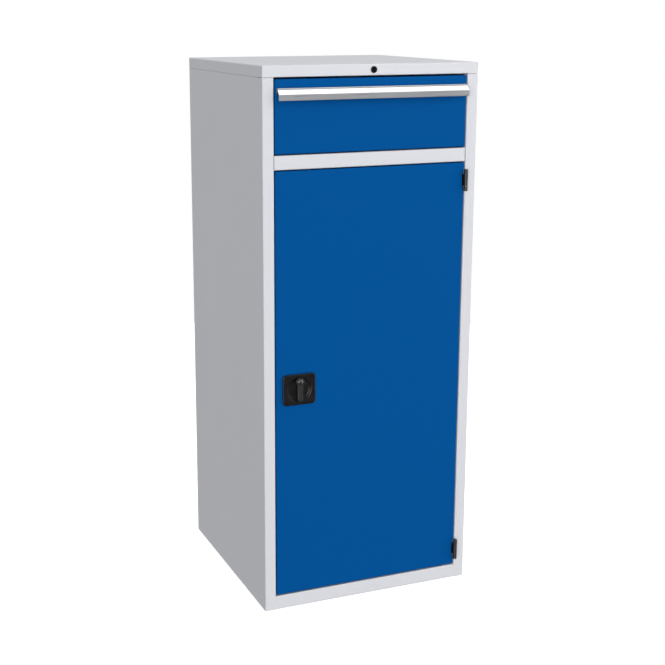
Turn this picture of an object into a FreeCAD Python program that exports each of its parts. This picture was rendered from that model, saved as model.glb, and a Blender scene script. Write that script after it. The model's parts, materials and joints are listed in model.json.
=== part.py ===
import FreeCAD, Part
import math
import os

# Steel storage cupboard: one drawer above a hinged door, with two shelves behind the door.
# Millimetres, +Z up, front towards -Y. The origin lies on the floor under the middle of the
# overall footprint, with the handle strip included.

# Carcass
width = 500.0
carcass_depth = 500.0
height = 1200.0
sheet = 1.2
bend = 2.4
stile_width = 25.0
stile_return = 20.0
back_flange = 20.0
back_clearance = 2.0
cap_height = 24.0
cap_seam = 0.8
cap_return = 14.0
carrier_leg = 20.0
carrier_lap = 12.0
base_height = 32.0
base_rim = 25.0
middle_rail_height = 30.0
drawer_opening = 160.0
weld_gap = 0.3
bead_play = 0.05
deck_flange = 15.0

# Shelves, their posts and clips
post_depth = 12.0
post_width = 30.0
front_post_setback = 60.0
rear_post_setback = 30.0
slot_width = 4.0
slot_height = 14.0
slot_pitch = 25.0
lower_shelf_step = 13
upper_shelf_step = 26
shelf_thickness = 25.0
shelf_rim = 15.0
shelf_front_setback = 45.0
shelf_back_gap = 12.0
shelf_side_gap = 1.3
clip_sheet = 1.5
clip_ledge = 14.0
clip_height = 22.0
clip_width = 24.0
hook_width = 3.4
hook_height = 10.0
hook_drop = 5.0
hook_reach = 2.5
hook_play = 0.3

# Door and drawer fronts
front_gap = 2.5
drawer_top_gap = 4.0
front_depth = 20.0
door_rim = 14.0
drawer_rim = 25.0

# Drawer tray and runners
tray_height = 110.0
tray_length = 445.0
tray_lift = 7.0
tray_rim = 5.0
drawer_travel = 420.0
runner_length = 440.0
runner_setback = 23.0
runner_thickness = 12.7
runner_side_gap = 1.8
runner_height = 45.0
runner_lift = 45.0
rail_sheet = 1.2
rail_bend = 2.0
cabinet_rail_reach = 10.0
middle_rail_offset = 2.4
middle_rail_reach = 8.6
drawer_rail_reach = 7.7
ball_diameter = 4.0
ball_play = 0.1
ball_pitch = 20.0
ball_hole_play = 0.15
cage_sheet = 0.8
cage_bend = 1.0
cage_play = 0.2
cage_end_room = 15.0
outer_cage_reach = 7.6
inner_cage_reach = 6.6
bracket_width = 40.0
bracket_height = 50.0
front_bracket_setback = 30.0
rear_bracket_setback = 380.0
front_screw_diameter = 4.0
front_screw_length = 8.0
front_screw_head_diameter = 8.0
front_screw_head = 2.0
front_screw_inset = 6.5
front_screw_lift = 25.0
front_screw_spacing = 60.0

# Handle strip with its label
handle_end_gap = 2.5
handle_sheet = 1.8
handle_bend = 2.2
handle_reach = 17.5
handle_top_reach = 8.5
handle_top_drop = 17.7
handle_band = 3.0
handle_slope_drop = 10.4
handle_lip = 11.8
handle_base = 12.0
label_margin = 0.9
label_thickness = 0.3
cover_thickness = 0.5
label_end_gap = 0.5

# Drawer lock in the cap
bezel_diameter = 14.5
bezel_height = 2.0
barrel_diameter = 12.5
barrel_play = 0.1
barrel_length = 22.0
drawer_plug_diameter = 8.0
plug_play = 0.05
plug_proud = 0.3
key_slot_width = 1.4
key_slot_depth = 6.0
key_slot_share = 0.62
nut_width = 16.0
nut_sides = 6
nut_thickness = 3.0
cam_thickness = 2.0
cam_width = 10.0
cam_length = 24.0
cam_gap = 0.4

# Hinges
hinge_height = 47.5
hinge_inset = 38.4
hinge_forward = 6.0
knuckle_diameter = 9.0
door_knuckle_height = 25.0
hinge_pin_diameter = 5.0
hinge_pin_play = 0.05
hinge_pin_end = 0.5
knuckle_gap = 0.6
knuckle_clearance = 0.5
washer_thickness = 0.4
washer_diameter = 7.0
leaf_sheet = 1.2
leaf_end_gap = 0.6
notch_width = 5.2
notch_depth = 8.0
notch_play = 1.0

# Door stiffener and stops
stiffener_width = 40.0
stiffener_depth = 17.0
stiffener_from_hinge = 120.0
stiffener_end_gap = 20.0
stop_height = 30.0
stop_leg = 13.0
stop_lap = 12.0
stop_reach = 13.0
stop_sheet = 1.5
stop_end_distance = 80.0
buffer_height = 16.0
buffer_width = 9.0
buffer_thickness = 1.8
buffer_play = 0.2

# Lever lock
lock_height = 528.0
lock_from_door_edge = 52.1
plate_width = 75.0
plate_height = 68.6
plate_drop = 18.7
plate_thickness = 5.0
plate_corner = 8.0
plate_edge = 1.2
dish_diameter = 57.0
dish_floor_diameter = 51.0
dish_floor = 1.0
lever_hub_diameter = 18.5
lever_width = 13.5
lever_corner = 4.0
lever_length = 43.5
lever_lift = 0.5
lever_thickness = 6.2
sleeve_diameter = 15.0
sleeve_play = 0.08
sleeve_hole_play = 0.5
sleeve_length = 9.0
lever_plug_diameter = 11.0
lever_plug_length = 13.0
lever_socket = 4.0
spindle_width = 8.0
spindle_journal_diameter = 6.0
journal_play = 0.08
lock_half_width = 26.0
lock_half_height = 23.0
case_gap = 0.5
case_wall = 1.5
case_depth = 11.0
case_screw_inset = 5.0
case_screw_diameter = 3.0
case_screw_head_diameter = 6.0
case_screw_head = 1.8
case_screw_grip = 8.0

# Pinion, toothed rods and their guides
gear_module = 1.0
gear_teeth = 16
gear_addendum = 0.9
gear_dedendum = 1.25
tooth_tip_half = 0.35
tooth_root_half = 0.75
lever_turn = math.pi / 2
rod_width = 6.0
rod_thickness = 6.0
rod_clearance = 2.5
rod_point = 1.5
rod_end_gap = 0.5
rod_slot_play = 0.4
rack_spare_teeth = 2
guide_width = 18.0
guide_height = 10.0
guide_wall = 2.5
guide_end_distance = 12.0
keeper_play = 4.0
pinion_play = 0.3

# Places worked out from the sizes above
front = (handle_reach - carcass_depth) / 2
back = front + carcass_depth
half_width = width / 2
inner_x = half_width - sheet
opening_x = half_width - stile_width
front_x = opening_x - front_gap
front_back = front + front_depth
frame_back = front + stile_return
back_face = back - 2 * sheet
cap_bottom = height - cap_height
side_top = cap_bottom - cap_seam
middle_rail_top = cap_bottom - drawer_opening
middle_rail_bottom = middle_rail_top - middle_rail_height
deck_top = middle_rail_top - sheet
door_bottom = base_height + front_gap
door_top = middle_rail_bottom - front_gap
drawer_bottom = middle_rail_top + front_gap
drawer_top = cap_bottom - drawer_top_gap
tray_bottom = drawer_bottom + tray_lift
runner_z = tray_bottom + runner_lift
runner_x = opening_x - runner_side_gap
tray_x = runner_x - runner_thickness
runner_front = front + runner_setback
hinge_x = opening_x - front_gap / 2
hinge_y = front - hinge_forward
hinge_heights = {"top": door_top - hinge_inset, "bottom": door_bottom + hinge_inset}
leaf_end = front_back - bend - leaf_end_gap
lock_x = lock_from_door_edge - front_x
plate_z = lock_height - plate_drop
dish_y = front - dish_floor
lever_back = front - plate_thickness - lever_lift
lever_front = lever_back - lever_thickness
sleeve_back = front + sleeve_length
lock_back = front_back + case_gap
case_back = lock_back + case_depth
pitch_radius = gear_module * gear_teeth / 2
tooth_pitch = math.pi * gear_module
rod_travel = pitch_radius * lever_turn
rod_front = front_back + rod_clearance
rod_back = rod_front + rod_thickness
rod_inner = pitch_radius + gear_dedendum
rod_outer = rod_inner + rod_width
drawer_lock_z = height - cap_height / 2
barrel_back = front + barrel_length

X_AXIS = FreeCAD.Vector(1, 0, 0)
Y_AXIS = FreeCAD.Vector(0, 1, 0)
Z_AXIS = FreeCAD.Vector(0, 0, 1)


def vector(x, y, z):
    return FreeCAD.Vector(x, y, z)


def block(x, y, z):
    """A box between two limits on each axis."""
    return Part.makeBox(x[1] - x[0], y[1] - y[0], z[1] - z[0], vector(x[0], y[0], z[0]))


def rod(diameter, start, end):
    """A round bar from one point to another."""
    along = end - start
    return Part.makeCylinder(diameter / 2, along.Length, start, along)


def y_bar(diameter, x, z, y):
    """A round bar along Y between two limits."""
    return rod(diameter, vector(x, y[0], z), vector(x, y[1], z))


def joined(shapes):
    """One clean solid out of overlapping or touching solids."""
    return shapes[0].multiFuse(shapes[1:]).removeSplitter()


def group(shapes):
    """Several separate solids kept together."""
    return Part.makeCompound(shapes)


def mirrored(shape):
    """The same shape on the other side of the middle plane."""
    return shape.mirror(vector(0, 0, 0), X_AXIS)


def on_plane(plane, u, v, w):
    """A point of a drawing plane, with w measured square to the plane."""
    places = {"XY": (u, v, w), "YZ": (w, u, v), "XZ": (u, w, v)}
    return vector(*places[plane])


def extruded(face, plane, length):
    """A face of a drawing plane pushed along the plane's third axis."""
    solid = face.extrude(on_plane(plane, 0, 0, length))
    if solid.Volume < 0:
        solid.reverse()
    return solid


def outline(points, plane, span):
    """A prism over a straight-sided outline, between two limits square to its plane."""
    corners = [on_plane(plane, u, v, span[0]) for u, v in points]
    wire = Part.makePolygon(corners + corners[:1])
    return extruded(Part.Face(wire), plane, span[1] - span[0])


def folded(points, plane, span, thickness, radius):
    """Sheet folded along a path, lying to the left of the path, with rounded bends.

    The bends have the given radius on their outer side. The span gives the two limits square
    to the drawing plane.
    """
    path = [FreeCAD.Vector(u, v, 0) for u, v in points]
    ways = [(b - a).normalize() for a, b in zip(path, path[1:])]
    lefts = [FreeCAD.Vector(-way.y, way.x, 0) for way in ways]
    near = [(path[0], None)]
    far = [(path[0] + lefts[0] * thickness, None)]
    for corner, way, left, next_way, next_left in zip(path[1:], ways, lefts, ways[1:], lefts[1:]):
        side = 1 if way.cross(next_way).z > 0 else -1
        near_radius = radius if side > 0 else radius - thickness
        far_radius = near_radius - side * thickness
        reach = near_radius * math.tan(way.getAngle(next_way) / 2)
        start = corner - way * reach
        end = corner + next_way * reach
        centre = start + left * (side * near_radius)
        out = (corner - centre).normalize()
        near += [(start, None), (end, centre + out * near_radius)]
        far += [(start + left * thickness, None), (end + next_left * thickness, centre + out * far_radius)]
    near.append((path[-1], None))
    far.append((path[-1] + lefts[-1] * thickness, None))

    def place(point):
        return on_plane(plane, point.x, point.y, span[0])

    edges = []
    for side in (near, far):
        for (start, _), (end, middle) in zip(side, side[1:]):
            if middle is None:
                edges.append(Part.LineSegment(place(start), place(end)).toShape())
            else:
                edges.append(Part.Arc(place(start), place(middle), place(end)).toShape())
    for end in (0, -1):
        edges.append(Part.LineSegment(place(near[end][0]), place(far[end][0])).toShape())
    wire = Part.Wire(Part.__sortEdges__(edges))
    return extruded(Part.Face(wire), plane, span[1] - span[0])


def pan(x, y, z, open_side, rim, wall=sheet, radius=bend):
    """A folded sheet box, open on one side, with a rim turned in round the opening.

    The open side is an axis letter with its sign. Without a rim the walls end square there.
    """
    axis = "xyz".index(open_side[1])
    open_end = 1 if open_side[0] == "+" else 0
    outward = wall if open_end else -wall
    limits = [list(x), list(y), list(z)]
    outer = block(*limits)
    inner_limits = [[low + wall, high - wall] for low, high in limits]
    window = [[low + rim, high - rim] for low, high in limits]
    open_plane = limits[axis][open_end]
    beyond = open_plane + outward
    window[axis] = sorted([limits[axis][1 - open_end] + 2 * outward, beyond])
    outer_edges = list(outer.Edges)
    if rim == 0:
        inner_limits[axis][open_end] = beyond
        outer_edges = [e for e in outer.Edges if not lies_on(e, axis, open_plane)]
    inner = block(*inner_limits)
    inner_edges = list(inner.Edges)
    if rim == 0:
        inner_edges = [e for e in inner.Edges if not lies_on(e, axis, beyond)]
    shell = outer.makeFillet(radius, outer_edges).cut(inner.makeFillet(radius - wall, inner_edges))
    if rim > 0:
        shell = shell.cut(block(*window))
    return shell


def lies_on(edge, axis, level):
    """Whether an edge lies in the plane at a level of one axis."""
    return all(abs(vertex.Point[axis] - level) < sheet / 100 for vertex in edge.Vertexes)


def wall_channel(depth, breadth, y, z):
    """An upright channel whose two legs meet the inside of the left side panel."""
    path = [(-inner_x, y), (depth - inner_x, y), (depth - inner_x, y + breadth), (-inner_x, y + breadth)]
    return folded(path, "XY", z, sheet, bend)


def front_rail(z, reach):
    """A channel across the front, open to the back."""
    path = [(frame_back, z[1]), (front, z[1]), (front, z[0]), (frame_back, z[0])]
    return folded(path, "YZ", (-reach, reach), sheet, bend)


def weld_bead():
    """The weld that fills the groove beside the left stile's bend, ground flush with the front."""
    corner = vector(-opening_x, front, 0)
    centre = corner + vector(-bend, bend, 0)
    radius = bend + bead_play
    offset = math.sqrt(radius**2 - bend**2)
    start = vector(centre.x + offset, front, 0)
    end = vector(-opening_x, centre.y - offset, 0)
    middle = centre + (corner - centre).normalize() * radius
    edges = [
        Part.LineSegment(start, corner).toShape(),
        Part.LineSegment(corner, end).toShape(),
        Part.Arc(end, middle, start).toShape(),
    ]
    return extruded(Part.Face(Part.Wire(edges)), "XY", base_height - bend)


def plinth_rail():
    """The rail at the floor, welded to both stiles."""
    bead = weld_bead()
    return joined([front_rail((0, base_height), opening_x), bead, mirrored(bead)])


def side_panel():
    """The left side, folded round into the front stile and the back flange."""
    path = [
        (back_flange - half_width, back),
        (-half_width, back),
        (-half_width, front),
        (-opening_x, front),
        (-opening_x, frame_back),
    ]
    return folded(path, "XY", (0, side_top), sheet, bend)


def cap_carrier():
    """The left angle that ties the cap to the side panel."""
    path = [
        (carrier_leg - inner_x, height - sheet),
        (-inner_x, height - sheet),
        (-inner_x, side_top - carrier_lap),
    ]
    span = (frame_back + carrier_lap, back_face - carrier_lap)
    return folded(path, "XZ", span, sheet, bend)


def top_cap():
    """The cover with its skirt, a fold under the skirt over the drawer and the hole for its lock."""
    cap = pan((-half_width, half_width), (front, back), (cap_bottom, height), "-z", 0)
    fold_top = cap_bottom + 2 * bend
    over_drawer = (-opening_x, opening_x)
    path = [(front, fold_top), (front, cap_bottom), (front + cap_return, cap_bottom)]
    cap = cap.cut(block(over_drawer, (front, front + sheet), (cap_bottom, fold_top)))
    cap = joined([cap, folded(path, "YZ", over_drawer, sheet, bend)])
    hole = y_bar(barrel_diameter + 2 * barrel_play, 0, drawer_lock_z, (front - sheet, front + 2 * sheet))
    return cap.cut(hole)


def base_pan():
    """The floor of the cupboard, with the hole that takes the lower locking rod."""
    pan_shape = pan(
        (-inner_x, inner_x), (frame_back + weld_gap, back_face), (0, base_height), "-z", base_rim
    )
    hole = block(
        (lock_x + rod_inner - keeper_play, lock_x + rod_outer + keeper_play),
        (rod_front - rod_slot_play, rod_back + keeper_play),
        (base_height - 2 * sheet, base_height + sheet),
    )
    return pan_shape.cut(hole)


def divider_deck():
    """The deck under the drawer, tucked under the middle rail's upper flange."""
    path = [
        (inner_x, deck_top - deck_flange),
        (inner_x, deck_top),
        (-inner_x, deck_top),
        (-inner_x, deck_top - deck_flange),
    ]
    deck = folded(path, "XZ", (frame_back + weld_gap, back_face), sheet, bend)
    reach = opening_x - 2 * weld_gap
    tongue = block((-reach, reach), (front + bend, frame_back + bend), (deck_top - sheet, deck_top))
    return joined([deck, tongue])


def carcass():
    left_side = side_panel()
    left_carrier = cap_carrier()
    back_x = half_width - bend - weld_gap
    return {
        "left_side": left_side,
        "right_side": mirrored(left_side),
        "back_panel": block(
            (-back_x, back_x), (back_face, back - sheet), (back_clearance, height - cap_height / 2)
        ),
        "top_cap": top_cap(),
        "cap_carrier_left": left_carrier,
        "cap_carrier_right": mirrored(left_carrier),
        "base_pan": base_pan(),
        "plinth_rail": plinth_rail(),
        "middle_rail": front_rail((middle_rail_bottom, middle_rail_top), opening_x - weld_gap),
        "divider_deck": divider_deck(),
    }


def shelf_post(y):
    """A left shelf post with a row of slots for the clips."""
    top = deck_top - deck_flange - weld_gap
    post = wall_channel(post_depth, post_width, y, (base_height, top))
    middle = y + post_width / 2
    face = post_depth - inner_x
    count = int((top - base_height) / slot_pitch)
    slots = []
    for step in range(1, count):
        level = base_height + (step + 0.5) * slot_pitch
        slots.append(
            block(
                (face - 2 * sheet, face + sheet),
                (middle - slot_width / 2, middle + slot_width / 2),
                (level - slot_height / 2, level + slot_height / 2),
            )
        )
    return post.cut(group(slots))


def shelf_clip(y, ledge):
    """A left clip: a ledge under the shelf, a plate on the post and a hook behind its slot."""
    face = post_depth - inner_x
    middle = y + post_width / 2
    path = [(face + clip_ledge, ledge), (face, ledge), (face, ledge - clip_height)]
    span = (middle - clip_width / 2, middle + clip_width / 2)
    bracket = folded(path, "XZ", span, clip_sheet, clip_sheet * 2)
    hook_y = (middle - hook_width / 2, middle + hook_width / 2)
    slot_bottom = ledge - slot_pitch / 2 - slot_height / 2
    hook_z = (slot_bottom + hook_play, slot_bottom + hook_play + hook_height)
    behind = face - sheet - hook_play
    neck = block((behind - hook_reach, face + clip_sheet / 2), hook_y, hook_z)
    drop = block((behind - hook_reach, behind), hook_y, (hook_z[0] - hook_drop, hook_z[1]))
    return joined([bracket, neck, drop])


def shelving():
    post_rows = {"front": front + front_post_setback, "rear": back - rear_post_setback - post_width}
    shelf_tops = {
        "lower": base_height + lower_shelf_step * slot_pitch,
        "upper": base_height + upper_shelf_step * slot_pitch,
    }
    reach = inner_x - post_depth - shelf_side_gap
    pieces = {}
    for row, y in post_rows.items():
        post = shelf_post(y)
        pieces[f"shelf_post_left_{row}"] = post
        pieces[f"shelf_post_right_{row}"] = mirrored(post)
    clips = []
    for level, top in shelf_tops.items():
        pieces[f"shelf_{level}"] = pan(
            (-reach, reach),
            (front + shelf_front_setback, back_face - shelf_back_gap),
            (top - shelf_thickness, top),
            "-z",
            shelf_rim,
        )
        for y in post_rows.values():
            clip = shelf_clip(y, top - shelf_thickness)
            clips += [clip, mirrored(clip)]
    pieces["shelf_clips"] = group(clips)
    return pieces


def runner_channel(depths, half_height, y, thickness, radius):
    """A channel of the left runner: its back at the first depth, its legs up to the second.

    Depths run from the cabinet side of the runner towards the drawer.
    """
    base, tip = (depth - runner_x for depth in depths)
    low, high = runner_z - half_height, runner_z + half_height
    path = [(tip, high), (base, high), (base, low), (tip, low)]
    if tip < base:
        path.reverse()
    return folded(path, "XZ", y, thickness, radius)


def ball_cage(depths, ball_depth, ball_height):
    """A left ball cage with its balls, as separate solids."""
    length = runner_length - drawer_travel / 2 - 2 * cage_end_room
    start = runner_front + drawer_travel / 4 + cage_end_room
    half_height = ball_height + cage_sheet / 2
    cage = runner_channel(depths, half_height, (start, start + length), cage_sheet, cage_bend)
    balls = []
    holes = []
    for step in range(int(length / ball_pitch)):
        y = start + (step + 0.5) * ball_pitch
        for side in (-1, 1):
            centre = vector(ball_depth - runner_x, y, runner_z + side * ball_height)
            balls.append(Part.makeSphere(ball_diameter / 2, centre))
            hole_diameter = ball_diameter + 2 * ball_hole_play
            holes.append(rod(hole_diameter, centre - Z_AXIS * cage_sheet, centre + Z_AXIS * cage_sheet))
    return group([cage.cut(group(holes))] + balls)


def runners():
    ball_room = ball_diameter + 2 * ball_play
    cabinet_half = runner_height / 2
    outer_ball = cabinet_half - rail_sheet - ball_room / 2
    middle_half = outer_ball - ball_room / 2
    inner_ball = middle_half - rail_sheet - ball_room / 2
    drawer_half = inner_ball - ball_room / 2
    span = (runner_front, runner_front + runner_length)
    middle_tip = middle_rail_offset + middle_rail_reach
    drawer_tip = runner_thickness - drawer_rail_reach
    outer_cage = rail_sheet + cage_play
    inner_cage = middle_rail_offset + rail_sheet + cage_play
    outer_ball_depth = (middle_rail_offset + cabinet_rail_reach) / 2
    inner_ball_depth = (drawer_tip + middle_tip) / 2
    bracket_z = (runner_z - bracket_height / 2, runner_z + bracket_height / 2)
    rails = {
        "cabinet_rail": ((0, cabinet_rail_reach), cabinet_half),
        "middle_rail": ((middle_rail_offset, middle_tip), middle_half),
        "drawer_rail": ((runner_thickness, drawer_tip), drawer_half),
    }
    left = {
        name: runner_channel(depths, half_height, span, rail_sheet, rail_bend)
        for name, (depths, half_height) in rails.items()
    }
    left["outer_cage"] = ball_cage((outer_cage, outer_cage + outer_cage_reach), outer_ball_depth, outer_ball)
    left["inner_cage"] = ball_cage((inner_cage, inner_cage + inner_cage_reach), inner_ball_depth, inner_ball)
    pieces = {}
    for name, shape in left.items():
        pieces[f"runner_{name}_left"] = shape
        pieces[f"runner_{name}_right"] = mirrored(shape)
    brackets = []
    for setback in (front_bracket_setback, rear_bracket_setback):
        bracket = wall_channel(inner_x - runner_x, bracket_width, front + setback, bracket_z)
        brackets += [bracket, mirrored(bracket)]
    pieces["runner_brackets"] = group(brackets)
    return pieces


def handle_path():
    """The outer face of the handle strip, from behind its base over the top to the lip."""
    top = drawer_top - handle_top_drop
    slope_top = top - handle_band
    slope_bottom = slope_top - handle_slope_drop
    return [
        (front, top - handle_base),
        (front, top),
        (front - handle_top_reach, top),
        (front - handle_top_reach, slope_top),
        (front - handle_reach, slope_bottom),
        (front - handle_reach, slope_bottom - handle_lip),
    ]


def slope_strip(low, high, reach):
    """A thin strip on the handle's slope, between two heights above it."""
    top, bottom = (vector(0, y, z) for y, z in handle_path()[3:5])
    down = (bottom - top).normalize()
    out = vector(0, down.z, -down.y)
    start = top + down * label_margin + out * low
    end = bottom - down * label_margin + out * low
    rise = out * (high - low)
    points = [(p.y, p.z) for p in (start, start + rise, end + rise, end)]
    return outline(points, "YZ", (-reach, reach))


def front_screws():
    """Four screws through the tray's front wall into the rim of the drawer front."""
    wall = front_back + sheet
    screws = []
    for side in (-1, 1):
        for step in (0, 1):
            x = side * (tray_x - front_screw_inset)
            z = tray_bottom + front_screw_lift + step * front_screw_spacing
            shank = y_bar(front_screw_diameter, x, z, (wall - front_screw_length, wall))
            head = y_bar(front_screw_head_diameter, x, z, (wall, wall + front_screw_head))
            screws.append(shank.fuse(head))
    return group(screws)


def drawer():
    screws = front_screws()
    front_pan = pan((-front_x, front_x), (front, front_back), (drawer_bottom, drawer_top), "+y", drawer_rim)
    tray = pan(
        (-tray_x, tray_x),
        (front_back, front_back + tray_length),
        (tray_bottom, tray_bottom + tray_height),
        "+z",
        tray_rim,
    )
    handle_x = front_x - handle_end_gap
    label_x = handle_x - label_end_gap
    cover_top = label_thickness + cover_thickness
    return {
        "drawer_front": front_pan.cut(screws),
        "drawer_tray": tray.cut(screws),
        "drawer_front_screws": screws,
        "handle_strip": folded(handle_path(), "YZ", (-handle_x, handle_x), handle_sheet, handle_bend),
        "label_strip": slope_strip(0, label_thickness, label_x),
        "label_cover": slope_strip(label_thickness, cover_top, label_x),
    }


def key_slot(diameter, x, z, y):
    """The cutter for an upright key slot in a plug whose face is at a level of Y."""
    half = diameter * key_slot_share / 2
    return block(
        (x - key_slot_width / 2, x + key_slot_width / 2),
        (y - sheet, y + key_slot_depth),
        (z - half, z + half),
    )


def drawer_lock():
    z = drawer_lock_z
    face = front - bezel_height
    inner = front + sheet
    body = joined(
        [y_bar(bezel_diameter, 0, z, (face, front)), y_bar(barrel_diameter, 0, z, (front, barrel_back))]
    )
    bore = y_bar(drawer_plug_diameter + 2 * plug_play, 0, z, (face, barrel_back))
    plug_back = barrel_back + cam_gap + cam_thickness
    plug = y_bar(drawer_plug_diameter, 0, z, (face - plug_proud, plug_back))
    plug = plug.cut(key_slot(drawer_plug_diameter, 0, z, face - plug_proud))
    reach = nut_width / 2 / math.cos(math.pi / nut_sides)
    angles = [2 * math.pi * step / nut_sides for step in range(nut_sides)]
    corners = [(reach * math.cos(angle), z + reach * math.sin(angle)) for angle in angles]
    nut = outline(corners, "XZ", (inner, inner + nut_thickness))
    cam_y = (barrel_back + cam_gap, plug_back)
    cam = joined(
        [
            y_bar(cam_width + 2 * cam_thickness, 0, z, cam_y),
            block((0, cam_length), cam_y, (z - cam_width / 2, z + cam_width / 2)),
        ]
    )
    return {
        "drawer_lock_body": body.cut(bore),
        "drawer_lock_nut": nut.cut(y_bar(barrel_diameter, 0, z, (inner, inner + nut_thickness))),
        "drawer_lock_plug": plug,
        "drawer_lock_cam": cam.cut(y_bar(drawer_plug_diameter, 0, z, cam_y)),
    }


def knuckle(x, z):
    """A hinge knuckle on the hinge axis with the leaf that runs back from it, before its bore is cut."""
    axis = (vector(hinge_x, hinge_y, z[0]), vector(hinge_x, hinge_y, z[1]))
    return [block(x, (hinge_y, leaf_end), z), rod(knuckle_diameter, *axis)]


def hinges():
    pieces = {}
    pins = []
    washers = []
    half = hinge_height / 2
    door_half = door_knuckle_height / 2
    frame_start = door_half + knuckle_gap
    frame_leaf_x = (opening_x - leaf_sheet, opening_x)
    door_leaf_x = (front_x - sheet - leaf_sheet, front_x - sheet)
    web_y = (hinge_y + knuckle_diameter / 2 + knuckle_clearance, leaf_end)
    for name, z in hinge_heights.items():
        low, high = (vector(hinge_x, hinge_y, z + side * half) for side in (-1, 1))
        bore = rod(hinge_pin_diameter + 2 * hinge_pin_play, low, high)
        frame_leaf = [block(frame_leaf_x, web_y, (z - half, z + half))]
        frame_leaf += knuckle(frame_leaf_x, (z - half, z - frame_start))
        frame_leaf += knuckle(frame_leaf_x, (z + frame_start, z + half))
        door_leaf = knuckle(door_leaf_x, (z - door_half, z + door_half))
        pieces[f"hinge_frame_leaf_{name}"] = joined(frame_leaf).cut(bore)
        pieces[f"hinge_door_leaf_{name}"] = joined(door_leaf).cut(bore)
        low, high = (vector(hinge_x, hinge_y, z + side * (half - hinge_pin_end)) for side in (-1, 1))
        pins.append(rod(hinge_pin_diameter, low, high))
        seat = z - frame_start + (knuckle_gap - washer_thickness) / 2
        low, high = (vector(hinge_x, hinge_y, level) for level in (seat, seat + washer_thickness))
        washers.append(rod(washer_diameter, low, high).cut(bore))
    pieces["hinge_pins"] = group(pins)
    pieces["hinge_washers"] = group(washers)
    return pieces


def hinge_notch(z):
    """The cutter for the notch beside a hinge, straight along the door's knuckle and slanted past it."""
    inner = front_x - notch_width
    outer = front_x + front_gap
    inner_half = door_knuckle_height / 2 + notch_play
    edge_half = hinge_height / 2 + notch_play
    outer_half = edge_half + (edge_half - inner_half) * front_gap / notch_width
    lower = [(inner, z - inner_half), (outer, z - outer_half)]
    upper = [(outer, z + outer_half), (inner, z + inner_half)]
    return outline(lower + upper, "XZ", (front - sheet, front + notch_depth))


def door():
    panel = pan((-front_x, front_x), (front, front_back), (door_bottom, door_top), "+y", door_rim)
    spindle_hole = y_bar(
        sleeve_diameter + 2 * sleeve_hole_play, lock_x, lock_height, (front - sheet, front + 2 * sheet)
    )
    notches = [hinge_notch(z) for z in hinge_heights.values()]
    right = front_x - stiffener_from_hinge
    left = right - stiffener_width
    inside = front + sheet
    crest = inside + stiffener_depth
    stiffener = folded(
        [(right, inside), (right, crest), (left, crest), (left, inside)],
        "XY",
        (door_bottom + stiffener_end_gap, door_top - stiffener_end_gap),
        sheet,
        bend,
    )
    stops = []
    buffers = []
    buffer_y = (front_back + buffer_play, front_back + buffer_play + buffer_thickness)
    behind = buffer_y[1] + stop_sheet
    stop_end = stop_reach - opening_x
    stop_root = -opening_x - sheet - stop_sheet
    for z in (door_bottom + stop_end_distance, door_top - stop_end_distance):
        path = [(stop_end, behind), (stop_root, behind), (stop_root, behind - stop_leg)]
        stop_z = (z - stop_height / 2, z + stop_height / 2)
        stops.append(folded(path, "XY", stop_z, stop_sheet, stop_sheet * 2))
        buffer_z = (z - buffer_height / 2, z + buffer_height / 2)
        buffers.append(block((stop_end - buffer_width, stop_end), buffer_y, buffer_z))
    return {
        "door_panel": panel.cut(group(notches + [spindle_hole])),
        "door_stiffener": stiffener,
        "door_stops": group(stops),
        "door_buffers": group(buffers),
    }


def lock_plate():
    """The plate on the door with its round finger dish and the hole for the lever's sleeve."""
    half_x = plate_width / 2
    half_z = plate_height / 2
    face = front - plate_thickness
    plate = block((lock_x - half_x, lock_x + half_x), (face, front), (plate_z - half_z, plate_z + half_z))
    corners = [e for e in plate.Edges if not lies_on(e, 1, face) and not lies_on(e, 1, front)]
    plate = plate.makeFillet(plate_corner, corners)
    plate = plate.makeFillet(plate_edge, [e for e in plate.Edges if lies_on(e, 1, face)])
    dish = Part.makeCone(
        dish_diameter / 2, dish_floor_diameter / 2, dish_y - face, vector(lock_x, face, plate_z), Y_AXIS
    )
    hole = y_bar(sleeve_diameter + 2 * sleeve_hole_play, lock_x, lock_height, (face, front))
    return plate.cut(dish).cut(hole)


def lever():
    """The lever: a straight bar below a round hub, with a sleeve through the door."""
    span = (lever_front, lever_back)
    half = lever_width / 2
    end_z = lock_height - lever_length
    bar = block((lock_x - half, lock_x + half), span, (end_z, lock_height))
    bottom = [e for e in bar.Edges if lies_on(e, 2, end_z)]
    corners = [e for e in bottom if not lies_on(e, 1, lever_front) and not lies_on(e, 1, lever_back)]
    body = joined(
        [
            bar.makeFillet(lever_corner, corners),
            y_bar(lever_hub_diameter, lock_x, lock_height, span),
            y_bar(sleeve_diameter, lock_x, lock_height, (lever_back, sleeve_back)),
        ]
    )
    bore_y = (lever_front, lever_front + lever_plug_length)
    plug_bore = y_bar(lever_plug_diameter + 2 * plug_play, lock_x, lock_height, bore_y)
    return body.cut(plug_bore).cut(spindle_bar((sleeve_back - lever_socket, sleeve_back)))


def spindle_bar(y):
    """The square bar of the spindle between two limits of Y."""
    half = spindle_width / 2
    return block((lock_x - half, lock_x + half), y, (lock_height - half, lock_height + half))


def pinion():
    """A straight-toothed gear on the spindle."""
    root = pitch_radius - gear_dedendum
    tip = pitch_radius + gear_addendum
    points = []
    for step in range(gear_teeth):
        angle = 2 * math.pi * step / gear_teeth
        for radius, offset in (
            (root, -tooth_root_half), (tip, -tooth_tip_half), (tip, tooth_tip_half), (root, tooth_root_half)
        ):
            x = lock_x + radius * math.cos(angle) - offset * math.sin(angle)
            z = lock_height + radius * math.sin(angle) + offset * math.cos(angle)
            points.append((x, z))
    span = (rod_front + pinion_play, rod_back - pinion_play)
    return outline(points, "XZ", span).cut(spindle_bar(span))


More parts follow.
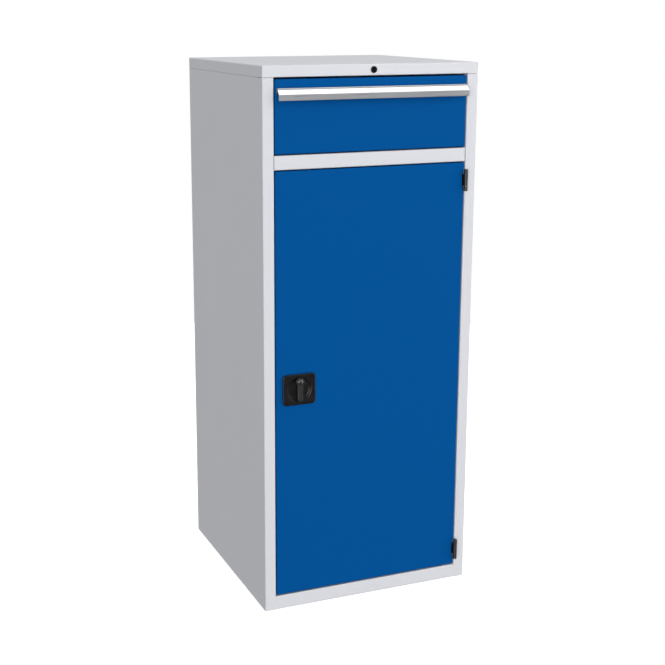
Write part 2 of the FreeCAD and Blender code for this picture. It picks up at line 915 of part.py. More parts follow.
def lock_rod(side, reach):
    """A flat rod with rack teeth beside the pinion. Side 1 runs up on the left, -1 down on the right."""
    tip = pitch_radius - gear_addendum
    moved_teeth = math.ceil(rod_travel / tooth_pitch)
    points = [(rod_outer, reach - rod_point), (rod_outer, -(moved_teeth + rack_spare_teeth) * tooth_pitch)]
    points.append((rod_inner, points[-1][1]))
    for step in range(-moved_teeth - rack_spare_teeth, rack_spare_teeth):
        middle = (step + 0.5) * tooth_pitch
        points += [
            (rod_inner, middle - tooth_root_half),
            (tip, middle - tooth_tip_half),
            (tip, middle + tooth_tip_half),
            (rod_inner, middle + tooth_root_half),
        ]
    points += [(rod_inner, reach - rod_point), (rod_inner + rod_point, reach), (rod_outer - rod_point, reach)]
    placed = [(lock_x - side * u, lock_height + side * v) for u, v in points]
    return outline(placed, "XZ", (rod_front, rod_back))


def rod_passage(side, z):
    """The cutter for a rod's way through a wall, with play all round."""
    edges = sorted((lock_x - side * (rod_inner - rod_slot_play), lock_x - side * (rod_outer + rod_slot_play)))
    return block(edges, (rod_front - rod_slot_play, rod_back + rod_slot_play), z)


def rod_guide(side, z):
    """A guide on the door's rim, round the rod of one side."""
    middle = lock_x - side * (rod_inner + rod_outer) / 2
    low, high = z - guide_height / 2, z + guide_height / 2
    guide = block(
        (middle - guide_width / 2, middle + guide_width / 2),
        (front_back, rod_back + rod_slot_play + guide_wall),
        (low, high),
    )
    return guide.cut(rod_passage(side, (low, high)))


def case_screw(x, z):
    """A screw from the back of the lock case into the lock body."""
    shank = y_bar(case_screw_diameter, x, z, (lock_back - case_screw_grip, case_back))
    head = y_bar(case_screw_head_diameter, x, z, (case_back, case_back + case_screw_head))
    return shank.fuse(head)


def door_lock():
    half_x = lock_half_width
    half_z = lock_half_height
    x_limits = (lock_x - half_x, lock_x + half_x)
    z_limits = (lock_height - half_z, lock_height + half_z)
    inside = front + sheet
    screws = []
    for side in (-1, 1):
        for rise in (-1, 1):
            x = lock_x + side * (half_x - case_screw_inset)
            z = lock_height + rise * (half_z - case_screw_inset)
            screws.append(case_screw(x, z))
    screw_group = group(screws)
    body = block(x_limits, (inside, lock_back), z_limits)
    body = body.cut(y_bar(sleeve_diameter + 2 * sleeve_play, lock_x, lock_height, (inside, lock_back)))
    case = pan(x_limits, (lock_back, case_back), z_limits, "-y", 0, case_wall, case_wall * 2)
    case = case.cut(
        y_bar(spindle_journal_diameter + 2 * journal_play, lock_x, lock_height, (lock_back, case_back))
    )
    case = case.cut(rod_passage(1, (lock_height, lock_height + 2 * half_z)))
    case = case.cut(rod_passage(-1, (lock_height - 2 * half_z, lock_height)))
    journal = y_bar(spindle_journal_diameter, lock_x, lock_height, (rod_back - pinion_play, case_back))
    spindle = joined([spindle_bar((sleeve_back - lever_socket, rod_back - pinion_play)), journal])
    plug_face = lever_front - plug_proud
    plug = y_bar(lever_plug_diameter, lock_x, lock_height, (plug_face, plug_face + lever_plug_length))
    return {
        "lock_plate": lock_plate(),
        "door_lever": lever(),
        "lever_plug": plug.cut(key_slot(lever_plug_diameter, lock_x, lock_height, plug_face)),
        "lever_spindle": spindle,
        "lever_pinion": pinion(),
        "lock_body": body.cut(screw_group),
        "lock_case": case.cut(screw_group),
        "lock_case_screws": screw_group,
        "lock_rod_top": lock_rod(1, door_top - rod_end_gap - lock_height),
        "lock_rod_bottom": lock_rod(-1, lock_height - door_bottom - rod_end_gap),
        "rod_guides": group(
            [rod_guide(1, door_top - guide_end_distance), rod_guide(-1, door_bottom + guide_end_distance)]
        ),
    }


def main():
    os.makedirs("parts", exist_ok=True)
    for build in (carcass, shelving, runners, drawer, drawer_lock, hinges, door, door_lock):
        for name, shape in build().items():
            shape.exportStep(f"parts/{name}.step")
            print(f"{name}: {len(shape.Solids)} solid(s), {shape.Volume:.0f} mm3, valid {shape.isValid()}")


main()
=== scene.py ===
"""Looks of a steel storage cupboard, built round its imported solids.

Metres, +Z up, front towards -Y. The solids stay where the frame puts them: sheet metal keeps its
own mesh and gets a finish, and the handle, locks, hinges and screws are modelled again in full.
"""
import json
import logging
import math
from dataclasses import dataclass, field
from enum import Enum

import bmesh
import bpy
import numpy as np
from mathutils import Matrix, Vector


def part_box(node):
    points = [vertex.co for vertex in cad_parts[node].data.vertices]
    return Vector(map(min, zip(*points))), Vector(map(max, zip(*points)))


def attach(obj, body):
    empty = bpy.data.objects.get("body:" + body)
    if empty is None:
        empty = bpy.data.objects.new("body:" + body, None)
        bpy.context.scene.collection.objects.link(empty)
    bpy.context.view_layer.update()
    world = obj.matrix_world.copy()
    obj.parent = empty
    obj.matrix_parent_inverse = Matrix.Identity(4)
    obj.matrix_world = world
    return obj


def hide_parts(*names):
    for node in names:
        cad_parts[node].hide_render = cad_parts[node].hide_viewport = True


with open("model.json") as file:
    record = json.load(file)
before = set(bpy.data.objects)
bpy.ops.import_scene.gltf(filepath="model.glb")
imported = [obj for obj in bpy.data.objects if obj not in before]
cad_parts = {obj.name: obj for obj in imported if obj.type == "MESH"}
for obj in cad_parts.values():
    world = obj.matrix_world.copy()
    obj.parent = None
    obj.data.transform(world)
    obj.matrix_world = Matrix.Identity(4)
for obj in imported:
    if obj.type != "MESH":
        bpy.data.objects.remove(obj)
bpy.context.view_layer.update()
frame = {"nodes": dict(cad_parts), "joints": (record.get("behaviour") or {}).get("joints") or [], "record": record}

MM = 0.001
MERGE_DISTANCE = 0.001 * MM
BEVEL_SEGMENTS = 3
BEVEL_ANGLE = 50.0
NOISE_MIDDLE = (0.3, 0.7)

Tree = bpy.types.NodeTree
Node = bpy.types.Node
Socket = bpy.types.NodeSocket
Point = tuple[float, float, float]

log = logging.getLogger("storage_cupboard")


class Axis(Enum):
    """The way a turned or fastened piece faces."""

    FRONT = -1.0
    BACK = 1.0


class Along(Enum):
    """The direction that an outline is drawn along, as its place among X, Y and Z."""

    X = 0
    Z = 2


# Colour and shader nodes


def linear(hex_colour: str) -> tuple[float, float, float, float]:
    """Turns an sRGB hex colour into linear light.

    Args:
        hex_colour: The colour as "#rrggbb".

    Returns:
        Red, green, blue and a full alpha.
    """
    channels = np.array([int(hex_colour[start:start + 2], 16) for start in (1, 3, 5)]) / 255
    light = np.where(channels <= 0.04045, channels / 12.92, ((channels + 0.055) / 1.055) ** 2.4)
    return (*light.tolist(), 1.0)


def add_node(tree: Tree, kind: str, settings: dict | None = None, inputs: dict | None = None) -> Node:
    """Adds one node with its settings, its values and its links.

    Args:
        tree: The node tree that the node joins.
        kind: The node's type name.
        settings: Attributes of the node by name.
        inputs: Values or output sockets by the name or number of the input they go to.

    Returns:
        The new node.
    """
    node = tree.nodes.new(kind)
    for name, value in (settings or {}).items():
        setattr(node, name, value)
    for name, value in (inputs or {}).items():
        if isinstance(value, Socket):
            tree.links.new(value, node.inputs[name])
        else:
            node.inputs[name].default_value = value
    return node


# Finishes


@dataclass(frozen=True)
class Noise:
    """A noise over a piece: how wide its blotches are, its finer layers and its stretch along X."""

    grain: float
    detail: float = 2.0
    stretch: float = 1.0

    def add(self, tree: Tree, place: Socket) -> Socket:
        """Adds the noise to a node tree.

        Args:
            tree: The node tree.
            place: The coordinates, in metres.

        Returns:
            The noise value, from 0 to 1.
        """
        scale = (1.0 / self.stretch, 1.0, 1.0)
        drawn_out = add_node(tree, "ShaderNodeMapping", inputs={"Vector": place, "Scale": scale})
        inputs = {"Vector": drawn_out.outputs[0], "Scale": 1.0 / self.grain, "Detail": self.detail}
        return add_node(tree, "ShaderNodeTexNoise", inputs=inputs).outputs[0]


@dataclass(frozen=True)
class Finish:
    """A finish: the values that hold all over the surface, and the noises that change them.

    The tone noise drifts the colour towards a second one, the sheen noise swings the roughness
    about its value, and the relief noise raises the surface by the depth.
    """

    name: str
    colour: str
    roughness: float
    metallic: float = 0.0
    specular: float = 0.5
    cover: float = 1.0
    glow: float = 0.0
    second: str = "#ffffff"
    tone: Noise | None = None
    sheen: Noise | None = None
    swing: tuple[float, float] = (0.0, 0.0)
    relief: Noise | None = None
    depth: float = 0.0

    def material(self) -> bpy.types.Material:
        """Gives the finish's material, made on the first call.

        Returns:
            The material.
        """
        found = bpy.data.materials.get(self.name)
        if found is not None:
            return found
        material = bpy.data.materials.new(self.name)
        material.use_nodes = True
        tree = material.node_tree
        tree.nodes.clear()
        place = add_node(tree, "ShaderNodeTexCoord").outputs["Object"]
        colour = linear(self.colour)
        inputs = {"Base Color": colour, "Roughness": self.roughness, "Metallic": self.metallic,
                  "Specular IOR Level": self.specular, "Alpha": self.cover,
                  "Emission Color": colour, "Emission Strength": self.glow}
        if self.tone is not None:
            mix = add_node(tree, "ShaderNodeMix", {"data_type": "RGBA"}, {
                0: self.tone.add(tree, place), 6: colour, 7: linear(self.second)})
            inputs["Base Color"] = mix.outputs[2]
        if self.sheen is not None:
            low, high = NOISE_MIDDLE
            down, up = self.swing
            gloss = add_node(tree, "ShaderNodeMapRange", inputs={
                "Value": self.sheen.add(tree, place), 1: low, 2: high,
                3: self.roughness + down, 4: self.roughness + up})
            inputs["Roughness"] = gloss.outputs[0]
        if self.relief is not None:
            bump = add_node(tree, "ShaderNodeBump", inputs={
                "Height": self.relief.add(tree, place), "Distance": self.depth, "Strength": 1.0})
            inputs["Normal"] = bump.outputs[0]
        shader = add_node(tree, "ShaderNodeBsdfPrincipled", inputs=inputs)
        add_node(tree, "ShaderNodeOutputMaterial", inputs={"Surface": shader.outputs[0]})
        return material


@dataclass(frozen=True)
class PowderCoat(Finish):
    """Polyester powder baked on steel: a matt, even colour with a faint orange peel.

    The real peel is about 2 mm wide. It is drawn at 5 mm, because 2 mm is finer than a pixel of
    the whole view. The film's thickness drifts over the panel, and the gloss drifts with it.
    """

    tone: Noise = Noise(160.0 * MM)
    sheen: Noise = Noise(160.0 * MM)
    swing: tuple[float, float] = (-0.03, 0.03)
    relief: Noise = Noise(5.0 * MM)
    depth: float = 0.02 * MM


@dataclass(frozen=True)
class DrawnMetal(Finish):
    """Metal drawn or extruded along X: long fine lines that pull its reflections across them.

    Real die lines are about 0.2 mm apart. They are drawn at 0.8 mm, because finer lines vanish
    between pixels. Broader bands of tone along the length make the metal uneven.
    """

    tone: Noise = Noise(4.8 * MM, stretch=112.5)
    sheen: Noise = Noise(0.8 * MM, stretch=112.5)
    swing: tuple[float, float] = (-0.08, 0.08)
    relief: Noise = Noise(0.8 * MM, stretch=112.5)
    depth: float = 0.012 * MM


@dataclass(frozen=True)
class Moulding(Finish):
    """Plastic or rubber from a spark-eroded mould: a fine even grain, and softer gloss on it.

    The real grain is about 0.3 mm across, and it is drawn at 0.9 mm so that it shows up close.
    The flow of the melt lets tone and gloss drift.
    """

    tone: Noise = Noise(14.0 * MM)
    sheen: Noise = Noise(14.0 * MM)
    swing: tuple[float, float] = (-0.05, 0.05)
    relief: Noise = Noise(0.9 * MM)
    depth: float = 0.02 * MM


@dataclass(frozen=True)
class Plating(Finish):
    """A plated or polished metal: bright, with a haze in clouds and faint polishing marks."""

    tone: Noise = Noise(7.0 * MM, detail=3.0)
    sheen: Noise = Noise(7.0 * MM, detail=3.0)
    swing: tuple[float, float] = (0.0, 0.06)
    relief: Noise = Noise(0.7 * MM)
    depth: float = 0.002 * MM


@dataclass(frozen=True)
class Card(Finish):
    """Uncoated white card: matt, with short fibres that break up its white a little."""

    tone: Noise = Noise(1.2 * MM, detail=4.0)
    relief: Noise = Noise(1.2 * MM, detail=4.0)
    depth: float = 0.01 * MM


@dataclass(frozen=True)
class LitFloor(Finish):
    """Pale matt paint in broad patches on a floor that glows a little, as a light table does."""

    tone: Noise = Noise(900.0 * MM)
    glow: float = 0.5


@dataclass(frozen=True)
class ClearSheet(Finish):
    """Clear rigid sheet: what lies under it shows through, with a thin gloss and a slight wave."""

    cover: float = 0.04
    sheen: Noise = Noise(40.0 * MM)
    swing: tuple[float, float] = (0.0, 0.05)
    relief: Noise = Noise(40.0 * MM)
    depth: float = 0.02 * MM


GREY_COAT = PowderCoat("light_grey_powder_coat", "#cbccd1", 0.5, specular=0.3, second="#c8c9ce")
BLUE_COAT = PowderCoat("blue_powder_coat", "#004b8b", 0.5, specular=0.03, second="#004a89")
ANODISED = DrawnMetal("satin_anodised_aluminium", "#c9cbce", 0.34, metallic=1.0, second="#b4b6ba")
POLYAMIDE = Moulding("black_moulded_polyamide", "#0b0b0c", 0.3, specular=0.35, second="#0f0f10")
GRAPHITE = Moulding("graphite_moulded_polyamide", "#1e1e1f", 0.36, second="#222223")
BLACK_STEEL = Moulding("black_coated_steel", "#171718", 0.4, second="#1d1d1e", relief=Noise(1.6 * MM))
RUBBER = Moulding("black_moulded_rubber", "#111111", 0.75, specular=0.3, second="#181818")
CHROME = Plating("dulled_chrome", "#7f8184", 0.1, metallic=1.0, second="#74767a")
BLACK_NICKEL = Plating("black_nickel_plate", "#1d1d20", 0.25, metallic=1.0, second="#232327")
ZINC = Plating("zinc_plated_steel", "#b9bdc2", 0.3, metallic=1.0, second="#c6c6c2", swing=(0.0, 0.12))
BRASS = Plating("plain_brass", "#b99a5c", 0.3, metallic=1.0, second="#a88b52")
WHITE_CARD = Card("uncoated_white_card", "#fbfbfb", 0.8, specular=0.2, second="#f6f6f5")
CLEAR_COVER = ClearSheet("clear_rigid_sheet", "#ffffff", 0.08)
FLOOR_PAINT = LitFloor("pale_floor_paint", "#f9f9f9", 0.9, specular=0.0, second="#f6f6f6")


# Outlines and surfaces


def full_turn(count: int) -> np.ndarray:
    """Gives evenly spaced angles once round."""
    return np.linspace(0.0, 2 * math.pi, count, endpoint=False)


def quarter_turn(steps: int) -> np.ndarray:
    """Gives evenly spaced angles over a quarter of a turn, with both ends."""
    return np.linspace(0.0, math.pi / 2, steps + 1)


def direction(azimuth: float, elevation: float) -> Vector:
    """Gives the direction at two angles in degrees, with azimuth 0 in front and 90 at the right."""
    turn, rise = math.radians(azimuth), math.radians(elevation)
    return Vector((math.sin(turn) * math.cos(rise), -math.cos(turn) * math.cos(rise), math.sin(rise)))


def circle(radius: float, angles: np.ndarray, centre: tuple[float, float] = (0.0, 0.0)) -> np.ndarray:
    """Gives the points of a circle: its centre plus the radius times cosine and sine.

    Args:
        radius: The circle's radius.
        angles: The angles of the points.
        centre: The circle's centre.

    Returns:
        One point for each angle.
    """
    return np.stack([np.cos(angles), np.sin(angles)], axis=-1) * radius + np.array(centre)


def rounded_loop(corners: np.ndarray, radii: np.ndarray, steps: int = 8) -> np.ndarray:
    """Rounds every corner of a closed outline with an arc that touches both of its sides.

    An arc starts one tangent length before its corner, which is the radius times the tangent of
    half the turn. A point of it lies the radius times the sine of its angle along the first side,
    and the radius times one minus the cosine across it, towards the turn.

    Args:
        corners: The corners, one row each.
        radii: The radius of each corner.
        steps: The number of spans in each arc.

    Returns:
        The points of the rounded outline.
    """
    before = corners - np.roll(corners, 1, axis=0)
    after = np.roll(corners, -1, axis=0) - corners
    way = before / np.linalg.norm(before, axis=1, keepdims=True)
    next_way = after / np.linalg.norm(after, axis=1, keepdims=True)
    cross = way[:, 0] * next_way[:, 1] - way[:, 1] * next_way[:, 0]
    turn = np.arctan2(cross, np.sum(way * next_way, axis=1))
    left = np.stack([-way[:, 1], way[:, 0]], axis=1) * np.sign(turn)[:, None]
    start = corners - way * (radii * np.tan(np.abs(turn) / 2))[:, None]
    angle = np.abs(turn)[:, None] * np.linspace(0.0, 1.0, steps + 1)
    along = (radii[:, None] * np.sin(angle))[..., None] * way[:, None, :]
    across = (radii[:, None] * (1 - np.cos(angle)))[..., None] * left[:, None, :]
    return (start[:, None, :] + along + across).reshape(-1, 2)


def resampled(loop: np.ndarray, count: int) -> np.ndarray:
    """Spaces points evenly along a closed outline, by its length.

    Args:
        loop: The outline's points.
        count: The number of points wanted.

    Returns:
        The evenly spaced points, from the outline's first point on.
    """
    closed = np.vstack([loop, loop[:1]])
    travel = np.concatenate([[0.0], np.cumsum(np.linalg.norm(np.diff(closed, axis=0), axis=1))])
    places = np.linspace(0.0, travel[-1], count, endpoint=False)
    return np.stack([np.interp(places, travel, closed[:, axis]) for axis in (0, 1)], axis=-1)


def rounded_rectangle(half_x: float, half_z: float, radius: float, count: int) -> np.ndarray:
    """Gives an upright rectangle with rounded corners, from the middle of its right side round.

    Args:
        half_x: Half of its width.
        half_z: Half of its height.
        radius: The corner radius.
        count: The number of points.

    Returns:
        The points, evenly spaced.
    """
    corners = np.array([(half_x, half_z), (-half_x, half_z), (-half_x, -half_z), (half_x, -half_z)])
    loop = rounded_loop(corners, np.full(4, radius))
    return resampled(np.vstack([[(half_x, 0.0)], loop]), count)


def inset(loop: np.ndarray, distance: float) -> np.ndarray:
    """Moves a closed outline inwards, square to the chord between each point's neighbours.

    Args:
        loop: The outline's points, anticlockwise.
        distance: How far they move.

    Returns:
        The moved points.
    """
    chord = np.roll(loop, -1, axis=0) - np.roll(loop, 1, axis=0)
    normal = np.stack([-chord[:, 1], chord[:, 0]], axis=1)
    return loop + normal / np.linalg.norm(normal, axis=1, keepdims=True) * distance


def smooth_step(value: np.ndarray, low: float, high: float) -> np.ndarray:
    """Rises from 0 at low to 1 at high along a cubic that is level at both ends.

    Args:
        value: The values to map.
        low: Where the rise starts.
        high: Where the rise ends.

    Returns:
        The cubic 3t squared minus 2t cubed of the share t of the way.
    """
    share = np.clip((value - low) / (high - low), 0.0, 1.0)
    return share * share * (3 - 2 * share)


@dataclass
class Facing:
    """A place on the cupboard where rings of points stand square to Y.

    A ring point's first value runs along X and its second along Z, both from the centre. Its
    depth runs out of the surface: towards -Y where the piece faces the front.
    """

    x: float
    y: float
    z: float
    axis: Axis = Axis.FRONT

    def ring(self, loop: np.ndarray, depth: float | np.ndarray) -> np.ndarray:
        """Sets one ring in space.

        Args:
            loop: The ring's points in the plane.
            depth: How far each point stands out of the surface.

        Returns:
            The ring's points in space.
        """
        level = np.broadcast_to(self.y + self.axis.value * np.asarray(depth), loop.shape[:1])
        return np.stack([self.x + loop[:, 0], level, self.z + loop[:, 1]], axis=-1)

    def lathe(self, profile: np.ndarray, count: int) -> np.ndarray:
        """Turns a profile of radius and depth round the piece's axis.

        Args:
            profile: One row of radius and depth for each ring.
            count: The number of points in a ring.

        Returns:
            The grid of points, one row for each ring.
        """
        angles = full_turn(count)
        return np.stack([self.ring(circle(radius, angles), depth) for radius, depth in profile])

    def rolled_edge(self, loop: np.ndarray, depth: float, width: float, drop: float,
                    steps: int) -> list[np.ndarray]:
        """Rolls a face over into a side with a quarter of an ellipse.

        Args:
            loop: The outline at the side.
            depth: The depth of the face where the roll starts.
            width: How far inside the outline the roll starts.
            drop: How far below the face it ends.
            steps: The number of spans in the roll.

        Returns:
            The rings of the roll, from the face to the side.
        """
        return [self.ring(inset(loop, width * (1 - math.sin(turn))), depth - drop * (1 - math.cos(turn)))
                for turn in quarter_turn(steps)]


@dataclass
class Surface:
    """A grid of points whose rows are closed rings.

    The rows also close on each other where the surface is a ring itself, and flat faces close
    its two ends where it is capped.
    """

    points: np.ndarray
    ring: bool = False
    capped: bool = False

    def faces(self, first: int) -> list[list[int]]:
        """Lists the faces of the grid.

        Args:
            first: The number of the grid's first point in its mesh.

        Returns:
            The point numbers of each face.
        """
        rows, columns = self.points.shape[:2]
        row, column = np.meshgrid(np.arange(rows if self.ring else rows - 1), np.arange(columns),
                                  indexing="ij")
        next_row = (row + 1) % rows
        next_column = (column + 1) % columns
        corners = ((row, column), (row, next_column), (next_row, next_column), (next_row, column))
        quads = np.stack([r * columns + c for r, c in corners], axis=-1).reshape(-1, 4) + first
        caps = []
        if self.capped:
            ends = np.arange(columns) + first
            caps = [ends[::-1].tolist(), (ends + (rows - 1) * columns).tolist()]
        return quads.tolist() + caps


def drawn(loop: np.ndarray, along: Along, limits: tuple[float, float]) -> Surface:
    """Draws an outline along X or Z between flat ends.

    Args:
        loop: The outline's points in the other two directions.
        along: The direction that it is drawn along.
        limits: Where the two ends stand.

    Returns:
        The closed surface.
    """
    rows = [np.insert(loop, along.value, level, axis=1) for level in limits]
    return Surface(np.stack(rows), capped=True)


def body_of(node: str) -> str:
    """Names the body that a node of the frame rides on."""
    bodies = frame["record"]["behaviour"]["bodies"]
    return next(body for body, nodes in bodies.items() if node in nodes)


def joint_place(name: str) -> Vector:
    """Gives the point that a joint of the frame turns about."""
    return Vector(next(joint["pos_m"] for joint in frame["joints"] if joint["name"] == name))


def add_piece(name: str, surfaces: list[Surface], finish: Finish, node: str, bevel: float = 0.0,
              sharp: float = 35.0) -> None:
    """Makes a piece out of surfaces in the place of a node, on the node's body.

    Args:
        name: The piece's name.
        surfaces: Its surfaces, each closed.
        finish: Its finish.
        node: The node that it stands for.
        bevel: The width of the bevel on its square edges, or 0 for none.
        sharp: The angle in degrees past which an edge is shaded sharp.
    """
    faces: list[list[int]] = []
    first = 0
    for surface in surfaces:
        faces += surface.faces(first)
        first += surface.points.shape[0] * surface.points.shape[1]
    points = np.vstack([surface.points.reshape(-1, 3) for surface in surfaces])
    mesh = bpy.data.meshes.new(name)
    mesh.from_pydata(points.tolist(), [], faces)
    shape = bmesh.new()
    shape.from_mesh(mesh)
    bmesh.ops.remove_doubles(shape, verts=shape.verts, dist=MERGE_DISTANCE)
    bmesh.ops.recalc_face_normals(shape, faces=shape.faces)
    shape.to_mesh(mesh)
    shape.free()
    mesh.shade_smooth()
    mesh.set_sharp_from_angle(angle=math.radians(sharp))
    mesh.materials.append(finish.material())
    piece = bpy.data.objects.new(name, mesh)
    bpy.context.scene.collection.objects.link(piece)
    if bevel > 0:
        rounding = piece.modifiers.new("rounded_edges", "BEVEL")
        rounding.width = bevel
        rounding.segments = BEVEL_SEGMENTS
        rounding.limit_method = "ANGLE"
        rounding.angle_limit = math.radians(BEVEL_ANGLE)
        rounding.harden_normals = True
    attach(piece, body_of(node))
    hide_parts(node)
    log.info("%s: %d faces, %s, for node %s", name, len(mesh.polygons), finish.name, node)


def dress(nodes: tuple[str, ...], finish: Finish) -> None:
    """Gives nodes of the frame a finish.

    Args:
        nodes: The nodes' names.
        finish: The finish for all of them.
    """
    for name in nodes:
        frame["nodes"][name].material_slots[0].material = finish.material()
        log.info("%s: %s", name, finish.name)


# Sub-assemblies


@dataclass
class MiddleRail:
    """The folded rail between drawer and door, a channel that ends just short of the stiles."""

    sheet: float = 1.2 * MM
    bend: float = 2.4 * MM
    left_cut: float = 0.2 * MM
    right_cut: float = 1.9 * MM
    cut_edge: float = 0.2 * MM

    def build(self) -> None:
        """Draws the channel's section along its length: the outside of the fold, then its inside."""
        low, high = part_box("middle_rail")
        outer = np.array([(high.y, high.z), (low.y, high.z), (low.y, low.z), (high.y, low.z)])
        inner = outer[::-1] + self.sheet * np.array([(0, 1), (1, 1), (1, -1), (0, -1)])
        radii = [[self.cut_edge, bend, bend, self.cut_edge] for bend in (self.bend, self.bend - self.sheet)]
        loop = rounded_loop(np.vstack([outer, inner]), np.array(radii).ravel())
        rail = drawn(loop, Along.X, (low.x + self.left_cut, high.x - self.right_cut))
        add_piece("middle_rail_channel", [rail], GREY_COAT, "middle_rail", bevel=self.cut_edge)


@dataclass
class Carcass:
    """The welded body of the cupboard with its shelves."""

    panels: tuple[str, ...] = (
        "left_side", "right_side", "back_panel", "top_cap", "base_pan", "plinth_rail",
        "divider_deck", "cap_carrier_left", "cap_carrier_right", "shelf_lower", "shelf_upper",
        "shelf_post_left_front", "shelf_post_left_rear", "shelf_post_right_front",
        "shelf_post_right_rear")
    clips: tuple[str, ...] = ("shelf_clips",)
    rail: MiddleRail = field(default_factory=MiddleRail)

    def build(self) -> None:
        """Makes the middle rail."""
        self.rail.build()

    def dress(self) -> None:
        """Coats the sheet metal and plates the clips."""
        dress(self.panels, GREY_COAT)
        dress(self.clips, ZINC)


@dataclass
class CrossScrews:
    """Four pan-head screws with cross recesses at the corners of one node, heads to the back.

    The head is a shallow dome, and its recess is sunk where a point lies within an arm of the
    cross. Arms narrow softly over the last part of their width.
    """

    name: str
    node: str
    head_diameter: float
    head_height: float
    shank_diameter: float
    dome: float = 0.45
    arm_half_width: float = 0.55 * MM
    arm_reach: float = 0.58
    arm_edge: float = 0.25 * MM
    recess: float = 1.1 * MM
    rings: int = 18
    columns: int = 72

    def head(self, loop: np.ndarray) -> np.ndarray:
        """Works out the head's height over its seat at points of a ring.

        Args:
            loop: The points in the plane of the head.

        Returns:
            The height at each point: a paraboloid less the recess of the cross.
        """
        radius = self.head_diameter / 2
        share = np.linalg.norm(loop, axis=1) / radius
        low, high = np.sort(np.abs(loop), axis=1).T
        arm = np.clip((self.arm_half_width - low) / self.arm_edge, 0.0, 1.0)
        arm = arm * np.clip((self.arm_reach * radius - high) / self.arm_edge, 0.0, 1.0)
        return self.head_height * (1 - self.dome * share**2) - self.recess * arm

    def build(self) -> None:
        """Makes the four screws as one piece."""
        low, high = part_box(self.node)
        radius = self.head_diameter / 2
        seat = high.y - self.head_height
        angles = full_turn(self.columns)
        surfaces = []
        for x in (low.x + radius, high.x - radius):
            for z in (low.z + radius, high.z - radius):
                place = Facing(x, seat, z, Axis.BACK)
                loops = [circle(share * radius, angles) for share in np.linspace(0, 1, self.rings)]
                rows = [place.ring(loop, self.head(loop)) for loop in loops]
                shank = circle(self.shank_diameter / 2, angles)
                rows += [place.ring(loops[-1], 0.0), place.ring(shank, 0.0)]
                rows += [place.ring(shank, low.y - seat), place.ring(loops[0], low.y - seat)]
                surfaces.append(Surface(np.stack(rows)))
        add_piece(self.name, surfaces, ZINC, self.node)


